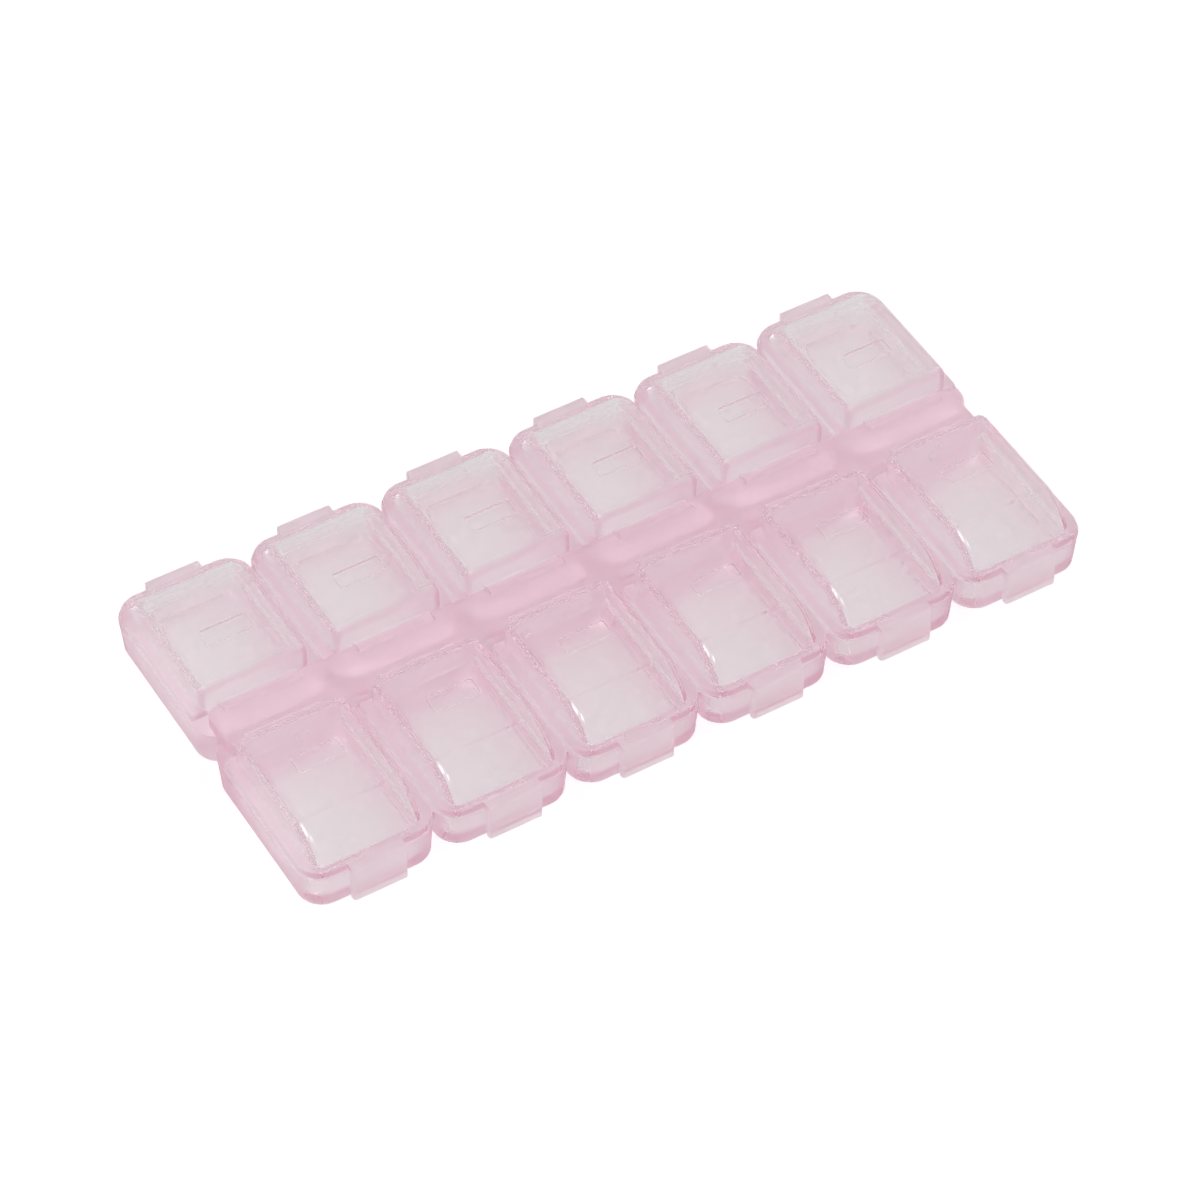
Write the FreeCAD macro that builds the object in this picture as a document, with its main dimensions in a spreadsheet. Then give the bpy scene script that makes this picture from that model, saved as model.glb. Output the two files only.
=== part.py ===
"""Flat plastic storage box: one tray with two rows of cups, and a domed flip lid on every cup.

Frame in millimetres: X runs along the rows, Y from the front row to the back row, Z up.
The origin is in the middle of the underside of the tray.
"""
import FreeCAD, Part
import math
import os
import Sketcher

VECTOR = FreeCAD.Vector

# Driving dimensions: alias, value, meaning
SIZES = [
    ("cell_pitch", 25.0, "distance between neighbouring cups along a row"),
    ("half_columns", 3, "cups on each side of the middle of a row"),
    ("row_depth", 35.0, "middle line of the box to the outer rim"),
    ("rim_height", 7.0, "height of the tray rim"),
    ("cell_gap", 0.1, "gap between neighbouring cups at the rim"),
    ("cell_draft", 0.55, "how far a cup wall leans in from rim to underside"),
    ("cell_corner", 5.0, "corner radius of a cup at the rim"),
    ("deck_thick", 1.8, "thickness of the deck that joins the cups"),
    ("notch_depth", 3.8, "depth of the notches between cups along the outside"),
    ("floor_thick", 1.2, "thickness of a cup floor"),
    ("side_wall", 2.3, "rim width beside a cup"),
    ("front_wall", 2.4, "rim width at the outer edge of a cup"),
    ("cavity_angle", 3.5, "draft of the inner walls, degrees"),
    ("cavity_corner", 2.6, "corner radius of a cup inside"),
    ("cavity_fillet", 1.0, "radius between inner wall and floor"),
    ("foot_round", 0.5, "edge radius around the underside of a cup"),
    ("seat_gap", 0.1, "play between a shut lid and the rim"),
    ("lid_height", 6.1, "height of a lid above the rim"),
    ("lid_wall", 1.2, "wall of a lid"),
    ("dome_inset", 2.4, "lid dome to the edge of its cup, at the sides"),
    ("dome_set_back", 1.6, "lid dome to the outer rim"),
    ("curve_run", 7.4, "depth of the curved front of the dome"),
    ("curve_radius", 9.75, "radius of the curved front of the dome"),
    ("kink_round", 0.6, "radius where the flat top meets the curved front"),
    ("dome_round", 2.0, "edge radius along the sides of the dome"),
    ("hinge_wall_round", 1.5, "edge radius around the hinge wall of the dome"),
    ("panel_width", 8.6, "width of the shallow panel in the top of a lid"),
    ("panel_depth", 3.5, "depth of that panel, away from the hinge"),
    ("panel_recess", 0.3, "how far the panel is let into the top"),
    ("panel_corner", 0.5, "corner radius of the panel"),
    ("back_seat", 0.5, "width of rim under the hinge wall of a dome"),
    ("lip_inset", 0.4, "lid lip to the edge of its cup"),
    ("lip_thick", 1.2, "thickness of the lid lip"),
    ("lip_corner", 0.6, "corner radius of the lid lip beside the spine"),
    ("lip_round", 0.4, "edge radius along the top of the lid lip"),
    ("tongue_width", 10.0, "width of the latch tongue"),
    ("tongue_thick", 1.1, "thickness of the latch tongue"),
    ("tongue_gap", 0.2, "tongue to rim"),
    ("tongue_foot", 0.8, "height of the lower edge of the tongue"),
    ("tongue_round", 0.6, "edge radius at the top and sides of the tongue"),
    ("hook_height", 2.0, "height of the tip of the hook on the tongue"),
    ("bead_height", 3.4, "height of the tip of the latch bead on the tray"),
    ("bead_width", 6.0, "width of the latch bead"),
    ("bead_half", 0.5, "half the height of bead and hook"),
    ("latch_play", 0.12, "room for the hook to swing past the bead"),
    ("axis_offset", 3.9, "hinge axis to the middle line of the box"),
    ("axis_rise", 1.9, "hinge axis above the tray rim"),
    ("rod_radius", 1.1, "radius of the hinge rod"),
    ("rod_play", 0.06, "radial play of the rod in its groove"),
    ("rod_length", 14.0, "length of the hinge rod"),
    ("rod_end_play", 0.3, "hinge rod to the ends of its groove"),
    ("web_thick", 0.9, "thickness of the web that joins rod and dome"),
    ("web_play", 0.15, "web to the shoulder of the groove below it"),
    ("groove_wall", 0.15, "wall between the groove and the side of the spine"),
    ("groove_lip", 0.7, "height of the spine above the hinge axis"),
    ("spine_gap", 0.4, "spine to the hinge wall of a dome"),
    ("spine_inset", 2.5, "end of the spine to the end of the box"),
    ("spine_round", 0.8, "edge radius of the spine"),
]

# Sizes that follow from the driving dimensions
SEAT = "(Sizes.rim_height + Sizes.seat_gap)"
LID_TOP = f"({SEAT} + Sizes.lid_height)"
HALF_LENGTH = "(Sizes.cell_pitch * Sizes.half_columns)"
CELL_MIDDLE = "(Sizes.cell_pitch / 2)"
AXIS_HEIGHT = "(Sizes.rim_height + Sizes.axis_rise)"
BORE_RADIUS = "(Sizes.rod_radius + Sizes.rod_play)"
GROOVE_LENGTH = "(Sizes.rod_length + 2 * Sizes.rod_end_play)"
SPINE_HALF = f"(Sizes.axis_offset + {BORE_RADIUS} + Sizes.groove_wall)"
SPINE_TOP = f"({AXIS_HEIGHT} + Sizes.groove_lip)"
DOME_BACK = f"({SPINE_HALF} + Sizes.spine_gap)"
DOME_HALF = "(Sizes.cell_pitch / 2 - Sizes.dome_inset)"
DOME_FRONT = "(Sizes.row_depth - Sizes.dome_set_back)"
CAVITY_BACK = f"({DOME_BACK} + Sizes.back_seat)"
TONGUE_INNER = "(Sizes.row_depth + Sizes.tongue_gap)"
BEAD_SWING = (f"(sqrt((Sizes.row_depth - Sizes.axis_offset)^2 + ({AXIS_HEIGHT} - Sizes.bead_height)^2)"
              " + Sizes.latch_play)")
HOOK_TIP = f"(Sizes.axis_offset + sqrt({BEAD_SWING}^2 - ({AXIS_HEIGHT} - Sizes.hook_height)^2))"

START, END, CENTRE = range(1, 4)
ORIGIN = (-1, START)
TOUCH = 1e-3  # two places nearer than this are the same


def make_sheet(doc):
    """Write the driving dimensions into a spreadsheet, one named cell each."""
    sheet = doc.addObject("Spreadsheet::Sheet", "Sizes")
    for row, (alias, value, meaning) in enumerate(SIZES, start=1):
        sheet.set(f"A{row}", meaning)
        sheet.set(f"B{row}", str(value))
        sheet.setAlias(f"B{row}", alias)
    doc.recompute()
    return sheet


def number(item, expression):
    """The present value of an expression over the sheet."""
    value = item.evalExpression(expression)
    return float(getattr(value, "Value", value))


def origin_feature(body, role):
    return next(item for item in body.Origin.OriginFeatures if item.Role == role)


def add_sketch(body, name, plane, offset=None):
    """A sketch on one of the body's own origin planes, moved along its normal by an expression."""
    sketch = body.newObject("Sketcher::SketchObject", name)
    sketch.AttachmentSupport = [(origin_feature(body, plane), "")]
    sketch.MapMode = "FlatFace"
    if offset:
        sketch.setExpression("AttachmentOffset.Base.z", offset)
    return sketch


def bind(sketch, kind, places, expression):
    """A dimension of the sketch, bound to the sheet."""
    index = sketch.addConstraint(Sketcher.Constraint(kind, *places, number(sketch, expression)))
    name = f"{sketch.Name}_{index}"
    sketch.renameConstraint(index, name)
    sketch.setExpression(f"Constraints.{name}", expression)


def rounded_rectangle(sketch, x_span, y_span, radius):
    """A closed outline with four equal corner arcs.

    x_span and y_span are pairs of expressions, lowest first. With None as its lowest bound, a span
    is centred on the origin and its second bound is half its width.
    """
    first = sketch.GeometryCount
    bounds = []
    for low, high in (x_span, y_span):
        bounds.append((number(sketch, low) if low else -number(sketch, high), number(sketch, high)))
    (x_low, x_high), (y_low, y_high) = bounds
    r = number(sketch, radius)
    corners = [(x_high - r, y_low + r), (x_high - r, y_high - r),
               (x_low + r, y_high - r), (x_low + r, y_low + r)]
    arcs = []
    for index, (x, y) in enumerate(corners):
        turn = (index - 1) * math.pi / 2
        circle = Part.Circle(VECTOR(x, y, 0), VECTOR(0, 0, 1), r)
        arcs.append(Part.ArcOfCircle(circle, turn, turn + math.pi / 2))
    for index, arc in enumerate(arcs):
        sketch.addGeometry(Part.LineSegment(arcs[index - 1].EndPoint, arc.StartPoint))
        sketch.addGeometry(arc)
    for index in range(8):
        following = first + (index + 1) % 8
        sketch.addConstraint(Sketcher.Constraint("Tangent", first + index, END, following, START))
    lower, right, upper, left = [first + index for index in (0, 2, 4, 6)]
    for line in (lower, upper):
        sketch.addConstraint(Sketcher.Constraint("Horizontal", line))
    for line in (right, left):
        sketch.addConstraint(Sketcher.Constraint("Vertical", line))
    for arc in (first + 3, first + 5, first + 7):
        sketch.addConstraint(Sketcher.Constraint("Equal", first + 1, arc))
    bind(sketch, "Radius", (first + 1,), radius)
    spans = (("DistanceX", x_span, left, right), ("DistanceY", y_span, lower, upper))
    for kind, (low, high), low_line, high_line in spans:
        bind(sketch, kind, (*ORIGIN, high_line, START), high)
        if low:
            bind(sketch, kind, (*ORIGIN, low_line, START), low)
        else:
            bind(sketch, kind, (low_line, START, high_line, START), f"2 * ({high})")


def polygon(sketch, points):
    """A closed outline of straight lines; every corner is a pair of expressions."""
    corners = [VECTOR(number(sketch, x), number(sketch, y), 0) for x, y in points]
    count = len(corners)
    for index in range(count):
        sketch.addGeometry(Part.LineSegment(corners[index], corners[(index + 1) % count]))
    for index in range(count):
        following = (index + 1) % count
        sketch.addConstraint(Sketcher.Constraint("Coincident", index, END, following, START))
    for index, (x, y) in enumerate(points):
        bind(sketch, "DistanceX", (*ORIGIN, index, START), x)
        bind(sketch, "DistanceY", (*ORIGIN, index, START), y)


def extrude(body, kind, name, sketch, length, taper=None, both_sides=False):
    """A Pad or Pocket of a sketch, its length bound to the sheet."""
    feature = body.newObject(f"PartDesign::{kind}", name)
    feature.Profile = sketch
    feature.setExpression("Length", length)
    if taper:
        feature.setExpression("TaperAngle", taper)
    if both_sides:
        feature.SideType = "Symmetric"
    return feature


def repeat_in_all_cells(body, name, originals):
    """Copy features of the first cup along its half row, then mirror them to the other three quarters."""
    repeat = body.newObject("PartDesign::MultiTransform", name)
    repeat.Originals = originals
    row = body.newObject("PartDesign::LinearPattern", f"{name}Row")
    row.Direction = (origin_feature(body, "X_Axis"), [""])
    row.Mode = "Spacing"
    row.setExpression("Offset", "Sizes.cell_pitch")
    row.setExpression("Occurrences", "Sizes.half_columns")
    steps = [row]
    for plane in ("YZ_Plane", "XZ_Plane"):
        mirror = body.newObject("PartDesign::Mirrored", f"{name}{plane[:2]}")
        mirror.MirrorPlane = (origin_feature(body, plane), [""])
        steps.append(mirror)
    repeat.Transformations = steps
    body.Tip = repeat
    return repeat


def round_edges(body, name, base, radius, wanted):
    """Fillet the edges of a feature for which wanted(edge) is true."""
    body.Document.recompute()
    edges = [f"Edge{index}" for index, edge in enumerate(base.Shape.Edges, start=1) if wanted(edge)]
    fillet = body.newObject("PartDesign::Fillet", name)
    fillet.Base = (base, edges)
    fillet.setExpression("Radius", radius)
    return fillet


def make_tray(doc):
    """The tray: cups hanging from a deck, a spine with hinge grooves, and latch beads."""
    body = doc.addObject("PartDesign::Body", "base_tray")
    body.Label = "base_tray"

    # Deck under the rim; its edge closes the notches between the cups
    sketch = add_sketch(body, "DeckOutline", "XY_Plane", "Sizes.rim_height - Sizes.deck_thick")
    rounded_rectangle(sketch, (None, f"{HALF_LENGTH} - Sizes.notch_depth"),
                      (None, "Sizes.row_depth - Sizes.notch_depth"), "Sizes.cell_corner")
    extrude(body, "Pad", "Deck", sketch, "Sizes.deck_thick")

    # Outside of one cup, leaning outwards from underside to rim
    margin = "(Sizes.cell_gap / 2 + Sizes.cell_draft)"
    sketch = add_sketch(body, "CellOutline", "XY_Plane")
    rounded_rectangle(sketch, (margin, f"Sizes.cell_pitch - {margin}"),
                      (margin, "Sizes.row_depth - Sizes.cell_draft"), "Sizes.cell_corner - Sizes.cell_draft")
    cell = extrude(body, "Pad", "Cell", sketch, "Sizes.rim_height",
                   "atan(Sizes.cell_draft / Sizes.rim_height)")

    # Latch bead on the outer wall, under the tongue of the lid
    sketch = add_sketch(body, "BeadOutline", "YZ_Plane", CELL_MIDDLE)
    root = "(Sizes.row_depth - Sizes.front_wall / 2)"
    polygon(sketch, [(root, "Sizes.bead_height - Sizes.bead_half"),
                     ("Sizes.row_depth - Sizes.cell_draft / 2", "Sizes.bead_height - Sizes.bead_half"),
                     ("Sizes.row_depth", "Sizes.bead_height"),
                     ("Sizes.row_depth - Sizes.cell_draft / 2", "Sizes.bead_height + Sizes.bead_half"),
                     (root, "Sizes.bead_height + Sizes.bead_half")])
    bead = extrude(body, "Pad", "Bead", sketch, "Sizes.bead_width", both_sides=True)
    repeat_in_all_cells(body, "Cells", [cell, bead])

    # Spine along the middle of the box
    sketch = add_sketch(body, "SpineOutline", "XY_Plane", "Sizes.rim_height - Sizes.deck_thick")
    rounded_rectangle(sketch, (None, f"{HALF_LENGTH} - Sizes.spine_inset"), (None, SPINE_HALF),
                      "Sizes.cell_corner / 2")
    spine = extrude(body, "Pad", "Spine", sketch, f"{SPINE_TOP} - Sizes.rim_height + Sizes.deck_thick")
    top = number(body, SPINE_TOP)
    round_edges(body, "SpineRound", spine, f"min(Sizes.spine_round; ({SPINE_TOP} - Sizes.rim_height) / 2)",
                lambda edge: abs(edge.BoundBox.ZMin - top) < TOUCH)

    # Groove for the rod of a lid, and its mouth, open upwards and outwards for the web of the lid
    sketch = add_sketch(body, "GrooveOutline", "YZ_Plane", CELL_MIDDLE)
    circle_about_axis(sketch, BORE_RADIUS)
    groove = extrude(body, "Pocket", "Groove", sketch, GROOVE_LENGTH, both_sides=True)
    sketch = add_sketch(body, "MouthOutline", "YZ_Plane", CELL_MIDDLE)
    shoulder = f"({AXIS_HEIGHT} - Sizes.web_thick / 2 - Sizes.web_play)"
    polygon(sketch, [("Sizes.axis_offset", shoulder), (DOME_BACK, shoulder),
                     (DOME_BACK, LID_TOP), ("Sizes.axis_offset", LID_TOP)])
    mouth = extrude(body, "Pocket", "Mouth", sketch, GROOVE_LENGTH, both_sides=True)
    repeat_in_all_cells(body, "Grooves", [groove, mouth])

    # Inside of one cup, from the rim down
    sketch = add_sketch(body, "CavityOutline", "XY_Plane", "Sizes.rim_height")
    rounded_rectangle(sketch, ("Sizes.side_wall", "Sizes.cell_pitch - Sizes.side_wall"),
                      (CAVITY_BACK, "Sizes.row_depth - Sizes.front_wall"), "Sizes.cavity_corner")
    cavity = extrude(body, "Pocket", "Cavity", sketch, "Sizes.rim_height - Sizes.floor_thick",
                     "-Sizes.cavity_angle")
    hollows = repeat_in_all_cells(body, "Hollows", [cavity])
    floor = number(body, "Sizes.floor_thick")

    def around_floor(edge):
        return max(abs(edge.BoundBox.ZMin - floor), abs(edge.BoundBox.ZMax - floor)) < TOUCH

    inside = round_edges(body, "CavityRound", hollows, "Sizes.cavity_fillet", around_floor)
    round_edges(body, "FootRound", inside, "Sizes.foot_round", lambda edge: edge.BoundBox.ZMax < TOUCH)
    return body


def circle_about_axis(sketch, radius):
    """A circle about the hinge axis."""
    axis = VECTOR(number(sketch, "Sizes.axis_offset"), number(sketch, AXIS_HEIGHT), 0)
    sketch.addGeometry(Part.Circle(axis, VECTOR(0, 0, 1), number(sketch, radius)))
    bind(sketch, "Radius", (0,), radius)
    bind(sketch, "DistanceX", (*ORIGIN, 0, CENTRE), "Sizes.axis_offset")
    bind(sketch, "DistanceY", (*ORIGIN, 0, CENTRE), AXIS_HEIGHT)


def dome_outline(sketch, inset):
    """Section of the dome, or of its inside: flat top, then an arc down to the outer rim."""
    wall = number(sketch, inset)
    back, front = number(sketch, DOME_BACK) + wall, number(sketch, DOME_FRONT) - wall
    low, high = number(sketch, SEAT), number(sketch, LID_TOP) - wall
    kink = VECTOR(front - number(sketch, "Sizes.curve_run") + wall, high, 0)
    foot = VECTOR(front, low, 0)
    radius = number(sketch, "Sizes.curve_radius") - wall
    chord = kink - foot
    inward = VECTOR(-chord.y, chord.x, 0).normalize()
    centre = (foot + kink) * 0.5 + inward * math.sqrt(radius ** 2 - chord.Length ** 2 / 4)
    turns = [math.atan2(point.y - centre.y, point.x - centre.x) for point in (foot, kink)]
    sketch.addGeometry(Part.LineSegment(VECTOR(back, low, 0), foot))
    sketch.addGeometry(Part.ArcOfCircle(Part.Circle(centre, VECTOR(0, 0, 1), radius), *turns))
    sketch.addGeometry(Part.LineSegment(kink, VECTOR(back, high, 0)))
    sketch.addGeometry(Part.LineSegment(VECTOR(back, high, 0), VECTOR(back, low, 0)))
    for index in range(4):
        sketch.addConstraint(Sketcher.Constraint("Coincident", index, END, (index + 1) % 4, START))
    for line in (0, 2):
        sketch.addConstraint(Sketcher.Constraint("Horizontal", line))
    sketch.addConstraint(Sketcher.Constraint("Vertical", 3))
    bind(sketch, "DistanceX", (*ORIGIN, 3, START), f"{DOME_BACK} + {inset}")
    bind(sketch, "DistanceX", (*ORIGIN, 1, START), f"{DOME_FRONT} - {inset}")
    bind(sketch, "DistanceX", (1, END, 1, START), f"Sizes.curve_run - {inset}")
    bind(sketch, "DistanceY", (*ORIGIN, 0, START), SEAT)
    bind(sketch, "DistanceY", (0, START, 2, START), f"Sizes.lid_height - {inset}")
    bind(sketch, "Radius", (1,), f"Sizes.curve_radius - {inset}")


def make_lid(doc):
    """One lid as it comes from the mould, in the place of a back lid in the middle of the box."""
    body = doc.addObject("PartDesign::Body", "lid_moulding")
    body.Label = "lid_moulding"

    # Domed shell, open at the bottom
    sketch = add_sketch(body, "DomeOutline", "YZ_Plane")
    dome_outline(sketch, "0")
    dome = extrude(body, "Pad", "Dome", sketch, f"2 * {DOME_HALF}", both_sides=True)
    back, low, high = [number(body, size) for size in (DOME_BACK, SEAT, LID_TOP)]

    def across_top(edge):
        return edge.BoundBox.XLength > edge.BoundBox.YLength and edge.BoundBox.ZMin > high - TOUCH

    def on_hinge_wall(edge):
        return edge.BoundBox.YMax < back + TOUCH

    kinked = round_edges(body, "KinkRound", dome, "Sizes.kink_round",
                         lambda edge: across_top(edge) and not on_hinge_wall(edge))

    def above_rim(edge):
        return edge.BoundBox.ZMax > low + TOUCH

    def along_side(edge):
        return edge.BoundBox.XLength < edge.BoundBox.YLength + edge.BoundBox.ZLength

    sides = round_edges(body, "SideRound", kinked, "Sizes.dome_round",
                        lambda edge: along_side(edge) and above_rim(edge) and not on_hinge_wall(edge))
    round_edges(body, "HingeWallRound", sides, "Sizes.hinge_wall_round",
                lambda edge: above_rim(edge) and on_hinge_wall(edge))

    # Lip that lies on the rim of the cup; beside the spine its corners are nearly square
    lip_side = "(Sizes.cell_pitch / 2 - Sizes.lip_inset)"
    for name, front, corner in (
            ("Lip", "(Sizes.row_depth - Sizes.lip_inset)", "(Sizes.cell_corner - Sizes.lip_inset)"),
            ("LipRoot", f"({DOME_BACK} + 2 * Sizes.cell_corner)", "Sizes.lip_corner")):
        sketch = add_sketch(body, f"{name}Outline", "XY_Plane", SEAT)
        rounded_rectangle(sketch, (None, lip_side), (DOME_BACK, front), corner)
        lip = extrude(body, "Pad", name, sketch, "Sizes.lip_thick")
    lip_top = f"({SEAT} + Sizes.lip_thick)"
    lip_height = number(body, lip_top)
    edge_side = number(body, lip_side)

    def on_lip_edge(edge):
        box = edge.BoundBox
        level = max(abs(box.ZMin - lip_height), abs(box.ZMax - lip_height)) < TOUCH
        return level and abs(edge.CenterOfMass.x) > edge_side - TOUCH

    round_edges(body, "LipRound", lip, "Sizes.lip_round", on_lip_edge)

    # Inside of the dome, open at the bottom
    sketch = add_sketch(body, "InsideOutline", "YZ_Plane")
    dome_outline(sketch, "Sizes.lid_wall")
    extrude(body, "Pocket", "Inside", sketch, f"2 * ({DOME_HALF} - Sizes.lid_wall)", both_sides=True)

    # Shallow plain panel in the middle of the flat top
    sketch = add_sketch(body, "PanelOutline", "XY_Plane", LID_TOP)
    middle = f"({DOME_BACK} + {DOME_FRONT} - Sizes.curve_run) / 2"
    rounded_rectangle(sketch, (None, "Sizes.panel_width / 2"),
                      (f"{middle} - Sizes.panel_depth / 2", f"{middle} + Sizes.panel_depth / 2"),
                      "Sizes.panel_corner")
    extrude(body, "Pocket", "Panel", sketch, "Sizes.panel_recess")

    # Latch tongue with its hook
    sketch = add_sketch(body, "TongueOutline", "YZ_Plane")
    outer = f"({TONGUE_INNER} + Sizes.tongue_thick)"
    polygon(sketch, [(DOME_FRONT, SEAT), (TONGUE_INNER, SEAT),
                     (TONGUE_INNER, "Sizes.hook_height + Sizes.bead_half"),
                     (HOOK_TIP, "Sizes.hook_height"),
                     (TONGUE_INNER, "Sizes.hook_height - Sizes.bead_half"),
                     (TONGUE_INNER, "Sizes.tongue_foot"), (outer, "Sizes.tongue_foot"),
                     (outer, lip_top), (DOME_FRONT, lip_top)])
    tongue = extrude(body, "Pad", "Tongue", sketch, "Sizes.tongue_width", both_sides=True)
    tongue_top = number(body, lip_top)
    tongue_face = number(body, outer)

    def on_tongue_edge(edge):
        box = edge.BoundBox
        return box.YMin > tongue_face - TOUCH and (box.ZMin > tongue_top - TOUCH or box.XLength < TOUCH)

    round_edges(body, "TongueRound", tongue, "Sizes.tongue_round", on_tongue_edge)

    # Hinge rod and the web that joins it to the dome
    sketch = add_sketch(body, "WebOutline", "YZ_Plane")
    web_low, web_high = [f"({AXIS_HEIGHT} {sign} Sizes.web_thick / 2)" for sign in "-+"]
    web_root = f"({DOME_BACK} + Sizes.lid_wall / 2)"
    polygon(sketch, [("Sizes.axis_offset", web_low), (web_root, web_low),
                     (web_root, web_high), ("Sizes.axis_offset", web_high)])
    extrude(body, "Pad", "Web", sketch, "Sizes.rod_length", both_sides=True)
    sketch = add_sketch(body, "RodOutline", "YZ_Plane")
    circle_about_axis(sketch, "Sizes.rod_radius")
    extrude(body, "Pad", "Rod", sketch, "Sizes.rod_length", both_sides=True)
    return body


def place_lids(doc, moulding):
    """Every lid of both rows, from the one moulding; the front row is turned half round."""
    columns = 2 * int(number(moulding, "Sizes.half_columns"))
    lids = []
    for row, turn in (("front", 180.0), ("back", 0.0)):
        for column in range(columns):
            lid = doc.addObject("App::Link", f"lid_{row}_{column + 1}")
            lid.Label = f"lid_{row}_{column + 1}"
            lid.LinkedObject = moulding
            lid.Placement = FreeCAD.Placement(VECTOR(), FreeCAD.Rotation(VECTOR(0, 0, 1), turn))
            lid.setExpression("Placement.Base.x",
                              f"({column} - Sizes.half_columns) * Sizes.cell_pitch + {CELL_MIDDLE}")
            lids.append(lid)
    return lids


def write_parts(doc, pieces):
    """Check every object and shape, then write one file for each piece."""
    doc.recompute()
    failed = [item.Name for item in doc.Objects if "Invalid" in item.State or "Error" in item.State]
    if failed:
        raise RuntimeError(f"objects that failed: {failed}")
    shapes = {piece.Label: Part.getShape(piece) for piece in pieces}
    for label, shape in shapes.items():
        if shape.isNull() or not shape.isValid() or len(shape.Solids) != 1:
            raise RuntimeError(f"bad shape: {label}")
    os.makedirs("parts", exist_ok=True)
    for label, shape in shapes.items():
        shape.Solids[0].exportStep(f"parts/{label}.step")
        print(label, round(shape.Volume, 1), "mm3")


document = FreeCAD.newDocument("CompartmentBox")
make_sheet(document)
tray = make_tray(document)
lid_moulding = make_lid(document)
document.recompute()
write_parts(document, [tray] + place_lids(document, lid_moulding))
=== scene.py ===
import math
import bpy
from mathutils import Matrix, Vector

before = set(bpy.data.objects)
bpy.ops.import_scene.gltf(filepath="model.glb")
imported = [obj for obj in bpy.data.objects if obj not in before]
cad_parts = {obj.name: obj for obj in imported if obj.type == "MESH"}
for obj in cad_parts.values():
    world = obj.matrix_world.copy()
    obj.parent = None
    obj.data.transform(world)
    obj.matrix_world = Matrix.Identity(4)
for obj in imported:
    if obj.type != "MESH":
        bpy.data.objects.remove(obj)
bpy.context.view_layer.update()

# Tray: twelve cups, their rim, the spine and the hinge grooves, all in one piece.
# It is one injection moulding of pale pink see-through polypropylene.
# Thin walls look nearly clear, and a long path through the plastic turns pink.


def srgb(code):
    """Linear colour of an sRGB hex value, with full alpha."""
    values = [int(code[i:i + 2], 16) / 255 for i in (1, 3, 5)]
    return [v / 12.92 if v <= 0.04045 else ((v + 0.055) / 1.055) ** 2.4 for v in values] + [1.0]


def add(tree, kind, settings=None, **links):
    """Add a node of that kind.

    The settings are its attributes. The links are its inputs by name, with _ for a space, or by number
    after a _, and each is a value or the socket of another node.
    """
    node = tree.nodes.new(kind)
    for name, value in (settings or {}).items():
        setattr(node, name, value)
    for name, value in links.items():
        socket = node.inputs[int(name[1:])] if name[0] == "_" else node.inputs[name.replace("_", " ")]
        if isinstance(value, bpy.types.NodeSocket):
            tree.links.new(value, socket)
        else:
            socket.default_value = value
    return node


# The resin of the tray and the lids: what it lets through, and how much it takes out on the way
resin_tint, resin_per_metre, resin_ior = "#EB51AA", 14.5, 1.49
# Metres from the middle line of the box: the spine ends, the clear cups and lids begin and end,
# and the outer walls and tongues begin
thick_until, clear_from, clear_until, outer_from = 0.0056, 0.0090, 0.0338, 0.0345
# Metres: distance between two cups, and the width over which a dull wall turns clear
cell_pitch, wall_fade = 0.025, 0.0005
# Nearly all values of the noise lie between these
noise_low, noise_high = 0.3, 0.7
# The skin ripples by a small share of a tenth of a millimetre
ripple_share, ripple_height = 0.05, 0.0001


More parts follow.
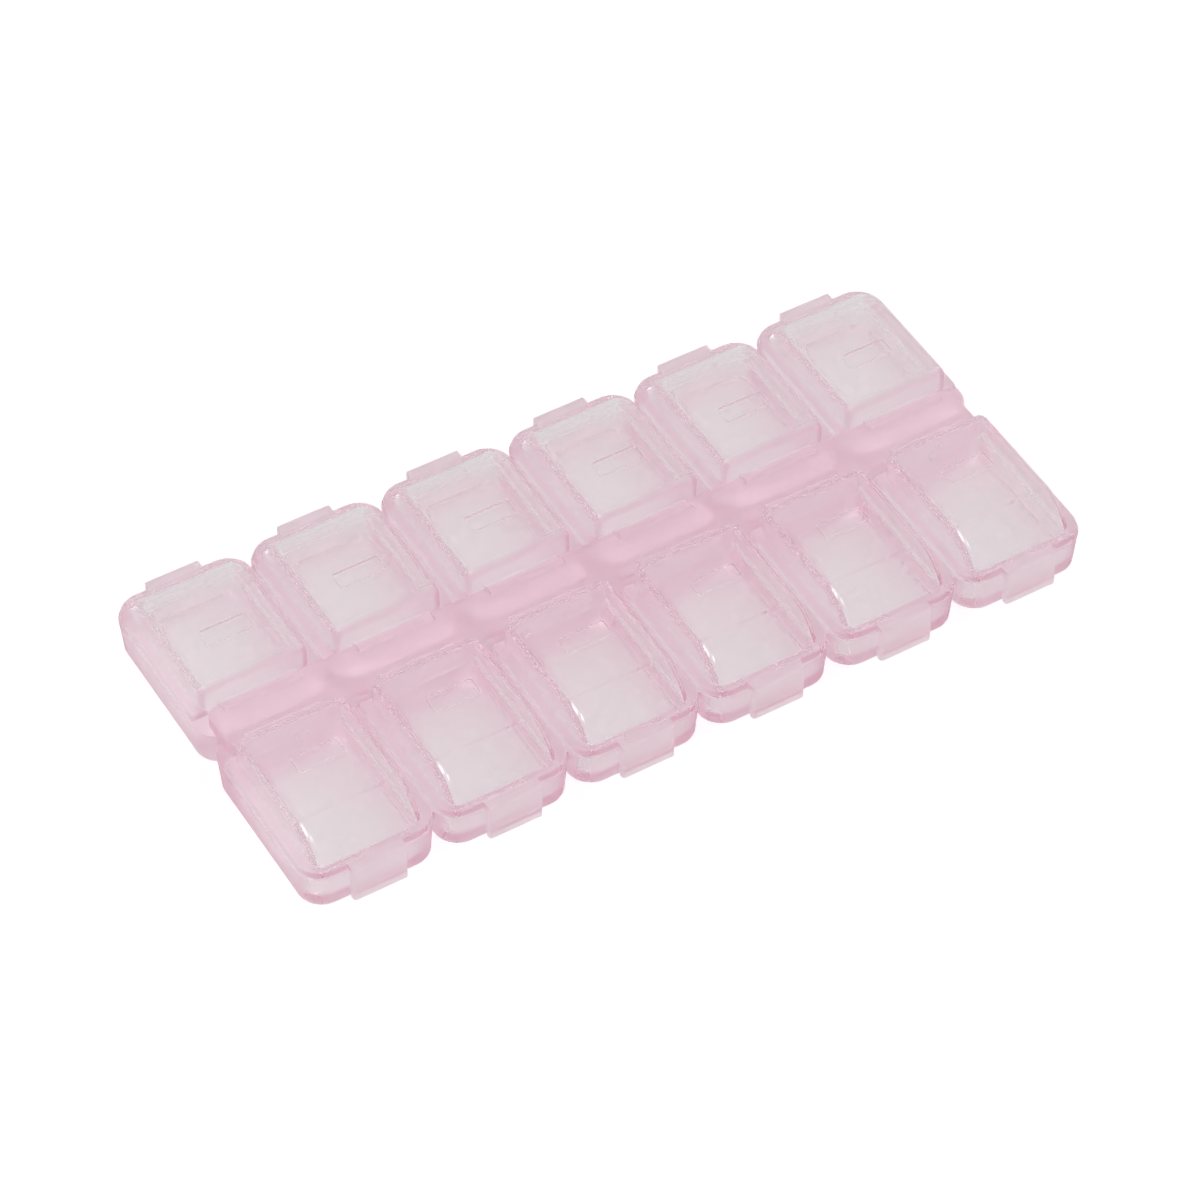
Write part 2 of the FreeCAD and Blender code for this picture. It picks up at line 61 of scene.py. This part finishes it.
def moulded_polypropylene(name, smoothest, roughest, middle_haze, wall_haze, side_wall, flow_mm):
    """Clear tinted polypropylene with the skin that a polished mould leaves.

    The colour comes from the length of the path inside the plastic. The roughness of the skin runs
    from smoothest to roughest in patches of flow_mm. It rises by middle_haze along the middle line of
    the box, where the plastic is thick and looks milky. It rises by wall_haze on upright walls, which
    rub along the mould: those at the outer edges, and those within side_wall of the gaps between cups.
    """
    material = bpy.data.materials.new(name)
    material.use_nodes = True
    tree = material.node_tree
    tree.nodes.clear()
    place = add(tree, "ShaderNodeTexCoord").outputs["Object"]
    flow = add(tree, "ShaderNodeTexNoise", Vector=place, Scale=1000 / flow_mm, Detail=2.0, Roughness=0.5)
    skin = add(tree, "ShaderNodeMapRange", Value=flow.outputs["Fac"],
               From_Min=noise_low, From_Max=noise_high, To_Min=smoothest, To_Max=roughest)
    spot = add(tree, "ShaderNodeSeparateXYZ", Vector=place)
    off_middle = add(tree, "ShaderNodeMath", {"operation": "ABSOLUTE"}, _0=spot.outputs["Y"])
    off_gap = add(tree, "ShaderNodeMath", {"operation": "PINGPONG"},
                  _0=spot.outputs["X"], _1=cell_pitch / 2)
    soft = {"interpolation_type": "SMOOTHSTEP"}
    middle = add(tree, "ShaderNodeMapRange", soft, Value=off_middle.outputs["Value"],
                 From_Min=thick_until, From_Max=clear_from, To_Min=middle_haze, To_Max=0.0)
    ends = add(tree, "ShaderNodeMapRange", soft, Value=off_middle.outputs["Value"],
               From_Min=clear_until, From_Max=outer_from, To_Min=0.0, To_Max=wall_haze)
    sides = add(tree, "ShaderNodeMapRange", soft, Value=off_gap.outputs["Value"],
                From_Min=side_wall, From_Max=side_wall + wall_fade, To_Min=wall_haze, To_Max=0.0)
    walls = add(tree, "ShaderNodeMath", {"operation": "MAXIMUM"},
                _0=ends.outputs["Result"], _1=sides.outputs["Result"])
    haze = add(tree, "ShaderNodeMath", {"operation": "MAXIMUM"},
               _0=middle.outputs["Result"], _1=walls.outputs["Value"])
    roughness = add(tree, "ShaderNodeMath", {"operation": "ADD"},
                    _0=skin.outputs["Result"], _1=haze.outputs["Value"])
    ripple = add(tree, "ShaderNodeBump", Strength=ripple_share, Distance=ripple_height,
                 Height=flow.outputs["Fac"])
    surface = add(tree, "ShaderNodeBsdfPrincipled", Base_Color=srgb("#FFFFFF"), IOR=resin_ior,
                  Transmission_Weight=1.0, Roughness=roughness.outputs["Value"],
                  Normal=ripple.outputs["Normal"])
    depth = add(tree, "ShaderNodeVolumeAbsorption", Color=srgb(resin_tint), Density=resin_per_metre)
    add(tree, "ShaderNodeOutputMaterial", Surface=surface.outputs["BSDF"], Volume=depth.outputs["Volume"])
    return material


def dress(node, material):
    """Give a CAD node that material and no other."""
    node.data.materials.clear()
    node.data.materials.append(material)


tray_plastic = moulded_polypropylene(
    "moulded_pink_polypropylene_tray", smoothest=0.21, roughest=0.31, middle_haze=0.15, wall_haze=0.16,
    side_wall=0.0006, flow_mm=6.0)
dress(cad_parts["base_tray"], tray_plastic)

# Lids: twelve domed shells with a lip, a latch tongue and a hinge rod, all from one mould.
# They are of the same polypropylene, with a glossier skin that shows small bright highlights.
# The rod of each lid snaps into its groove in the spine of the tray.
lid_plastic = moulded_polypropylene(
    "moulded_pink_polypropylene_lid", smoothest=0.11, roughest=0.17, middle_haze=0.22, wall_haze=0.20,
    side_wall=0.0024, flow_mm=5.0)
for name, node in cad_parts.items():
    if name.startswith("lid_"):
        dress(node, lid_plastic)

# Floor: a flat sheet of matt white paper under the box, and no part of it.
# It glows a little to the camera alone, so that it shows as pure white.
floor_half, floor_drop = 3.0, -0.0002  # just below the cups, so that no two faces share a plane
floor_glow = 0.35
floor_mesh = bpy.data.meshes.new("paper_floor")
floor_corners = [(-floor_half, -floor_half, floor_drop), (floor_half, -floor_half, floor_drop),
                 (floor_half, floor_half, floor_drop), (-floor_half, floor_half, floor_drop)]
floor_mesh.from_pydata(floor_corners, [], [(0, 1, 2, 3)])
floor = bpy.data.objects.new("paper_floor", floor_mesh)
bpy.context.scene.collection.objects.link(floor)
paper = bpy.data.materials.new("matt_white_paper")
paper.use_nodes = True
tree = paper.node_tree
tree.nodes.clear()
matt = add(tree, "ShaderNodeBsdfDiffuse", Color=srgb("#FCFCFC"))
ray = add(tree, "ShaderNodeLightPath")
seen = add(tree, "ShaderNodeMath", {"operation": "MULTIPLY"},
           _0=ray.outputs["Is Camera Ray"], _1=floor_glow)
glow = add(tree, "ShaderNodeEmission", Strength=seen.outputs["Value"])
both = add(tree, "ShaderNodeAddShader", _0=matt.outputs["BSDF"], _1=glow.outputs["Emission"])
add(tree, "ShaderNodeOutputMaterial", Surface=both.outputs["Shader"])
floor_mesh.materials.append(paper)

# Light: an even white room, which lights the box from all sides.
# Two softboxes draw the highlights on the domes and light nothing else.
room_strength = 0.74
room = bpy.data.worlds.new("white_studio")
room.use_nodes = True
bpy.context.scene.world = room
background = room.node_tree.nodes["Background"]
background.inputs["Color"].default_value = srgb("#FFFFFF")
background.inputs["Strength"].default_value = room_strength


def softbox(name, direction, distance, size, watts):
    """A square area light that looks at the origin from that direction.

    It shows only as a reflection. Lengths are in metres.
    """
    light = bpy.data.lights.new(name, "AREA")
    light.shape = "SQUARE"
    light.size = size
    light.energy = watts
    lamp = bpy.data.objects.new(name, light)
    bpy.context.scene.collection.objects.link(lamp)
    lamp.location = Vector(direction).normalized() * distance
    lamp.rotation_euler = Vector(direction).to_track_quat("Z", "Y").to_euler()
    lamp.visible_diffuse = False
    lamp.visible_transmission = False


softbox("left_softbox", direction=(-0.62, -0.09, 0.77), distance=1.2, size=0.42, watts=7.0)
softbox("front_softbox", direction=(-0.28, -0.48, 0.84), distance=1.6, size=0.35, watts=5.0)

# Camera: the viewing angle, distance and lens worked out from the photograph.
# Its lengths were found in distances between two cups.
azimuth, elevation, roll = math.radians(-30.4667), math.radians(47.7593), math.radians(-0.2232)
distance, sensor = 34.3519 * cell_pitch, 36.0
image_size, focal_pixels = 1200, 5091.14
aim_right, aim_up = -0.0135 * cell_pitch, 0.0018 * cell_pitch
back = Vector((math.sin(azimuth) * math.cos(elevation), -math.cos(azimuth) * math.cos(elevation),
               math.sin(elevation)))
right = Vector((math.cos(azimuth), math.sin(azimuth), 0))
up = back.cross(right)
camera_place = right * aim_right + up * aim_up + back * distance
turned_right = right * math.cos(roll) + up * math.sin(roll)
turned_up = up * math.cos(roll) - right * math.sin(roll)
camera_data = bpy.data.cameras.new("photo_camera")
camera_data.sensor_width = sensor
camera_data.lens = focal_pixels / image_size * sensor
camera = bpy.data.objects.new("photo_camera", camera_data)
bpy.context.scene.collection.objects.link(camera)
camera_turn = Matrix((turned_right, turned_up, back)).transposed().to_4x4()
camera.matrix_world = Matrix.Translation(camera_place) @ camera_turn
bpy.context.scene.camera = camera

# Picture: plain colours, and enough bounces for light to find its way out of nested clear walls.
# No blur is put on rays that leave the paper, because it darkens the plastic.
clear_bounces, paper_bounces = 64, 16
scene = bpy.context.scene
scene.view_settings.view_transform = "Standard"
scene.cycles.max_bounces = clear_bounces
scene.cycles.transmission_bounces = clear_bounces
scene.cycles.glossy_bounces = clear_bounces
scene.cycles.diffuse_bounces = paper_bounces
scene.cycles.blur_glossy = 0.0
